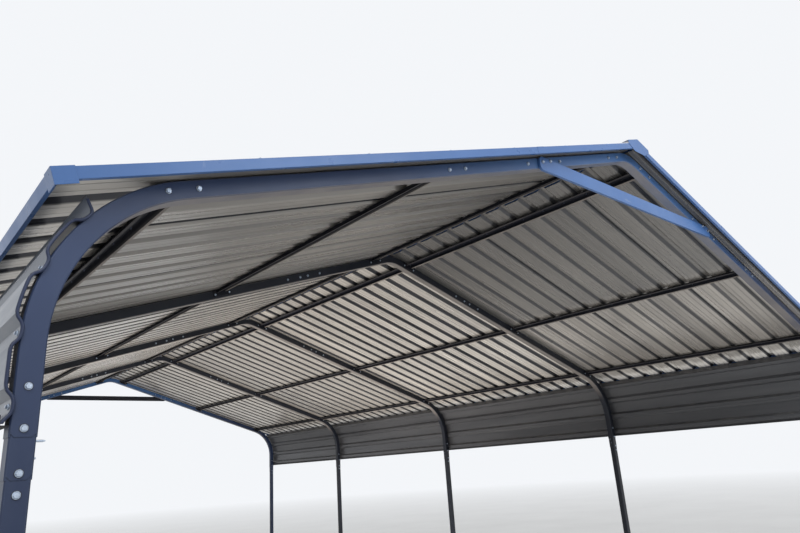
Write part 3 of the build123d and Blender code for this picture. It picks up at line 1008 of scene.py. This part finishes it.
def panel_stations():
    """Distances down the panel and lifts off the tubes of its folds, as in the CAD model."""
    stations = [(0.0, PANEL_LIP_LIFT)]
    for index in range(PANEL_VALLEYS):
        start = PANEL_LIP_RUN + index * PANEL_PITCH
        end = start + PANEL_VALLEY
        following = min(start + PANEL_PITCH - PANEL_FLANK, PANEL_WIDTH)
        stations += [(start, PANEL_GAP), (end, PANEL_GAP)]
        stations += [(end + PANEL_FLANK, PANEL_DEPTH), (following, PANEL_DEPTH)]
    return stations


def guard_points(side, y):
    """Points along the panel's end, close together at its folds."""
    points = []
    stations = panel_stations()
    for (start_run, start_lift), (end_run, end_lift) in zip(stations, stations[1:]):
        length = ((end_run - start_run) ** 2 + (end_lift - start_lift) ** 2) ** 0.5
        near = min(GUARD_CORNER / max(length, GUARD_CORNER), GUARD_CORNER_SHARE)
        between = [0.5] if length < LONG_RUN else [0.25, 0.5, 0.75]
        for share in [near, *between, 1.0 - near]:
            run = start_run + (end_run - start_run) * share
            lift = start_lift + (end_lift - start_lift) * share
            points.append(panel_place(side, run, lift + PANEL_THICKNESS / 2 - GUARD_SINK, y))
    return points


def edge_guards():
    """Coated guards along the ends of the side panels."""
    panel_low, panel_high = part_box("left_side_panel")
    ends = {"front": panel_low.y + GUARD_INSET, "back": panel_high.y - GUARD_INSET}
    for side, hand in SIDES.items():
        for end, y in ends.items():
            curve = bpy.data.curves.new(f"{end}_{hand}_panel_edge_guard", "CURVE")
            curve.dimensions = "3D"
            curve.bevel_depth = GUARD_RADIUS
            curve.bevel_resolution = 3
            curve.use_fill_caps = True
            spline = curve.splines.new("NURBS")
            points = guard_points(side, y)
            spline.points.add(len(points) - 1)
            for point, place in zip(spline.points, points):
                point.co = (*place, 1.0)
            spline.order_u = 3
            spline.use_endpoint_u = True
            spline.resolution_u = 3
            curve.materials.append(GUARD_PAINT)
            settle(bpy.data.objects.new(curve.name, curve))


# Seals under the sheet laps, which also stand in for the shadow in each lap's gap, and plates over
# the trim laps
LAP_SHADOW_SEAL_WIDTH = 0.0085
LAP_SHADOW_SEAL_THICKNESS = 0.0006
LAP_SHADOW_SEAL_START = 0.013
LAP_SHADOW_SEAL_INSET = 0.003
LAP_PLATE_LENGTH = 0.055
LAP_PLATE_THICKNESS = 0.0006
LAP_PLATE_GAP = 0.0001
LAP_PLATE_INSET = 0.002


def along_slope(side, start, end, section):
    """Prism down the slope whose section is a list of (y, lift)."""
    count = len(section)
    vertices = []
    for distance in (start, end):
        vertices += [on_slope(side, distance, lift, y) for y, lift in section]
    faces = [tuple(range(count)), tuple(range(2 * count - 1, count - 1, -1))]
    for index in range(count):
        following = (index + 1) % count
        faces.append((index, index + count, following + count, following))
    return vertices, faces


def lap_shadow_seals():
    """Dark seal along the edge of each lapped sheet, under the far flank of the lap's rib, which
    also stands in for the shadow in the lap's gap.
    """
    fall = (RIB_HEIGHT + LAP_LIFT) / ((RIB_BASE - RIB_CREST) / 2)
    shapes = []
    for side in SIDES:
        for index in range(FIRST_LAP_RIB, RIB_COUNT - 1, RIBS_PER_SHEET):
            near = rib_place(index) + RIB_CREST / 2 + TRIM_GAP
            far = near + LAP_SHADOW_SEAL_WIDTH
            near_top = sheet_base + RIB_HEIGHT + LAP_LIFT - TRIM_GAP * (1 + fall)
            far_top = near_top - LAP_SHADOW_SEAL_WIDTH * fall
            section = [
                (near, near_top),
                (far, far_top),
                (far, far_top - LAP_SHADOW_SEAL_THICKNESS),
                (near, near_top - LAP_SHADOW_SEAL_THICKNESS),
            ]
            shapes.append(along_slope(side, LAP_SHADOW_SEAL_START, eave_end - LAP_SHADOW_SEAL_INSET, section))
    add_piece("sheet_lap_shadow_seals", together(*shapes), SEAL_AND_SHADOW_BLACK)


def trim_laps():
    """Thin lap plates over the joints in the four rake trims."""
    verge = sheets_high.y + TRIM_GAP + TRIM_THICKNESS
    start = TRIM_LAP_DISTANCE - LAP_PLATE_LENGTH
    shapes = []
    for side in SIDES:
        for end in (-1, 1):
            face = end * (verge + LAP_PLATE_GAP)
            outer = face + end * LAP_PLATE_THICKNESS
            inner = end * (verge - TRIM_TOP + LAP_PLATE_INSET)
            under = trim_roof + LAP_PLATE_GAP
            over = under + LAP_PLATE_THICKNESS
            section = [
                (inner, under),
                (inner, over),
                (outer, over),
                (outer, trim_sole),
                (face, trim_sole),
                (face, under),
            ]
            shapes.append(along_slope(side, start, TRIM_LAP_DISTANCE, section))
    add_piece("rake_trim_laps", together(*shapes), PAINTS["trim_paint"])


# Floor, light and camera
FLOOR_SIZE = 120.0
FLOOR_FADE = (9.0, 32.0)
CAMERA_PLACE = (-3.3242, -6.3657, 1.5315)
CAMERA_YAW = radians(41.981)
CAMERA_PITCH = radians(17.432)
CAMERA_ROLL = radians(-3.959)
CAMERA_LENS = 28.19
CAMERA_CLIP = (0.05, 500.0)
SENSOR_WIDTH = 36.0
WORLD_LIGHT = 0.45
WORLD_SEEN = 0.95
WORLD_COLOUR = (0.95, 0.97, 1.0)
SUN_STRENGTH = 1.5
SUN_SPREAD = radians(30)
SUN_TURN = (radians(48), 0, radians(-24))
LAMP_PLACE = Vector((0.6, -9.5, 4.6))
LAMP_AIM = Vector((0.8, -4.8, 2.9))
LAMP_SIZE = (3.5, 3.5)
LAMP_POWER = 130.0
LAMP_COLOUR = (0.88, 0.94, 1.0)
FILL_PLACE = Vector((1.1, 0.5, 0.12))
FILL_AIM = Vector((1.2, 0.5, 3.0))
FILL_SIZE = (2.6, 5.8)
FILL_POWER = 165.0
FILL_COLOUR = (1.0, 0.93, 0.86)


def floor_paint():
    """Pale matt floor that fades to the white of the background away from the carport."""
    shader = Shader("pale_floor")
    colour = shader.mix(shader.varied(0.8, 6.0), (0.74, 0.74, 0.73), (0.79, 0.79, 0.78))
    rough = shader.varied(2.0, 4.0, 0.75, 0.9)
    reach = shader.tree.nodes.new("ShaderNodeVectorMath")
    reach.operation = "LENGTH"
    shader.link(shader.place, reach.inputs[0])
    fade = shader.ramp(reach.outputs["Value"], *FLOOR_FADE)
    path = shader.tree.nodes.new("ShaderNodeLightPath")
    seen = shader.math("MULTIPLY", fade, path.outputs["Is Camera Ray"])
    glow = shader.tree.nodes.new("ShaderNodeEmission")
    shader.put(glow.inputs["Color"], WORLD_COLOUR)
    shader.put(glow.inputs["Strength"], WORLD_SEEN)
    blend = shader.tree.nodes.new("ShaderNodeMixShader")
    shader.link(seen, blend.inputs[0])
    shader.link(shader.surface.outputs[0], blend.inputs[1])
    shader.link(glow.outputs[0], blend.inputs[2])
    shader.link(blend.outputs[0], shader.tree.nodes["Material Output"].inputs["Surface"])
    return shader.finish(colour, rough, shader.bump(shader.noise(60.0), 0.001, 0.2))


def pale_floor():
    """Square floor under the carport, which isn't part of it."""
    half = FLOOR_SIZE / 2
    corners = [(-half, -half, 0), (half, -half, 0), (half, half, 0), (-half, half, 0)]
    mesh = bpy.data.meshes.new("floor")
    mesh.from_pydata(corners, [], [(0, 1, 2, 3)])
    mesh.materials.append(floor_paint())
    floor = bpy.data.objects.new("floor", mesh)
    bpy.context.scene.collection.objects.link(floor)


def soft_world():
    """Even white light, and a plain white background for camera, gloss and glass."""
    world = bpy.data.worlds.new("soft_white")
    bpy.context.scene.world = world
    world.use_nodes = True
    tree = world.node_tree
    path = tree.nodes.new("ShaderNodeLightPath")
    seen = path.outputs["Is Camera Ray"]
    for ray in ("Is Glossy Ray", "Is Transmission Ray"):
        either = tree.nodes.new("ShaderNodeMath")
        either.operation = "MAXIMUM"
        tree.links.new(seen, either.inputs[0])
        tree.links.new(path.outputs[ray], either.inputs[1])
        seen = either.outputs[0]
    strength = tree.nodes.new("ShaderNodeMapRange")
    strength.inputs["To Min"].default_value = WORLD_LIGHT
    strength.inputs["To Max"].default_value = WORLD_SEEN
    tree.links.new(seen, strength.inputs["Value"])
    background = tree.nodes["Background"]
    background.inputs["Color"].default_value = (*WORLD_COLOUR, 1.0)
    tree.links.new(strength.outputs[0], background.inputs["Strength"])


def soft_box(name, place, aim, size, power, colour):
    """Large lamp that faces its aim."""
    light = bpy.data.lights.new(name, "AREA")
    light.shape = "RECTANGLE"
    light.size, light.size_y = size
    light.energy = power
    light.color = colour
    lamp = bpy.data.objects.new(name, light)
    lamp.location = place
    lamp.rotation_euler = (aim - place).to_track_quat("-Z", "Y").to_euler()
    bpy.context.scene.collection.objects.link(lamp)
    return lamp


def soft_lights():
    """A broad sun from the front left, a cool lamp before the gable and a warm fill from below."""
    light = bpy.data.lights.new("soft_sun", "SUN")
    light.energy = SUN_STRENGTH
    light.angle = SUN_SPREAD
    sun = bpy.data.objects.new("soft_sun", light)
    sun.rotation_euler = SUN_TURN
    bpy.context.scene.collection.objects.link(sun)
    soft_box("gable_softbox", LAMP_PLACE, LAMP_AIM, LAMP_SIZE, LAMP_POWER, LAMP_COLOUR)
    fill = soft_box("floor_fill", FILL_PLACE, FILL_AIM, FILL_SIZE, FILL_POWER, FILL_COLOUR)
    fill.visible_glossy = False
    fill.visible_camera = False


def photo_camera():
    """Camera at eye height before the front left leg, looking up and in."""
    yaw, pitch, roll = CAMERA_YAW, CAMERA_PITCH, CAMERA_ROLL
    ahead = Vector((sin(yaw) * cos(pitch), cos(yaw) * cos(pitch), sin(pitch)))
    level_right = Vector((cos(yaw), -sin(yaw), 0))
    level_up = level_right.cross(ahead)
    right = cos(roll) * level_right + sin(roll) * level_up
    up = cos(roll) * level_up - sin(roll) * level_right
    data = bpy.data.cameras.new("photo_camera")
    data.sensor_width = SENSOR_WIDTH
    data.lens = CAMERA_LENS
    data.clip_start, data.clip_end = CAMERA_CLIP
    camera = bpy.data.objects.new("photo_camera", data)
    turn = Matrix((right, up, -ahead)).transposed().to_4x4()
    camera.matrix_world = Matrix.Translation(CAMERA_PLACE) @ turn
    bpy.context.scene.collection.objects.link(camera)
    bpy.context.scene.camera = camera


paint_frame()
frame_bolts()
leg_studs()
foot_anchors()
foot_welds()
roof_screws()
screw_ends()
panel_screws()
edge_guards()
lap_shadow_seals()
trim_laps()
pale_floor()
soft_world()
soft_lights()
photo_camera()
bpy.context.scene.view_settings.view_transform = "Standard"
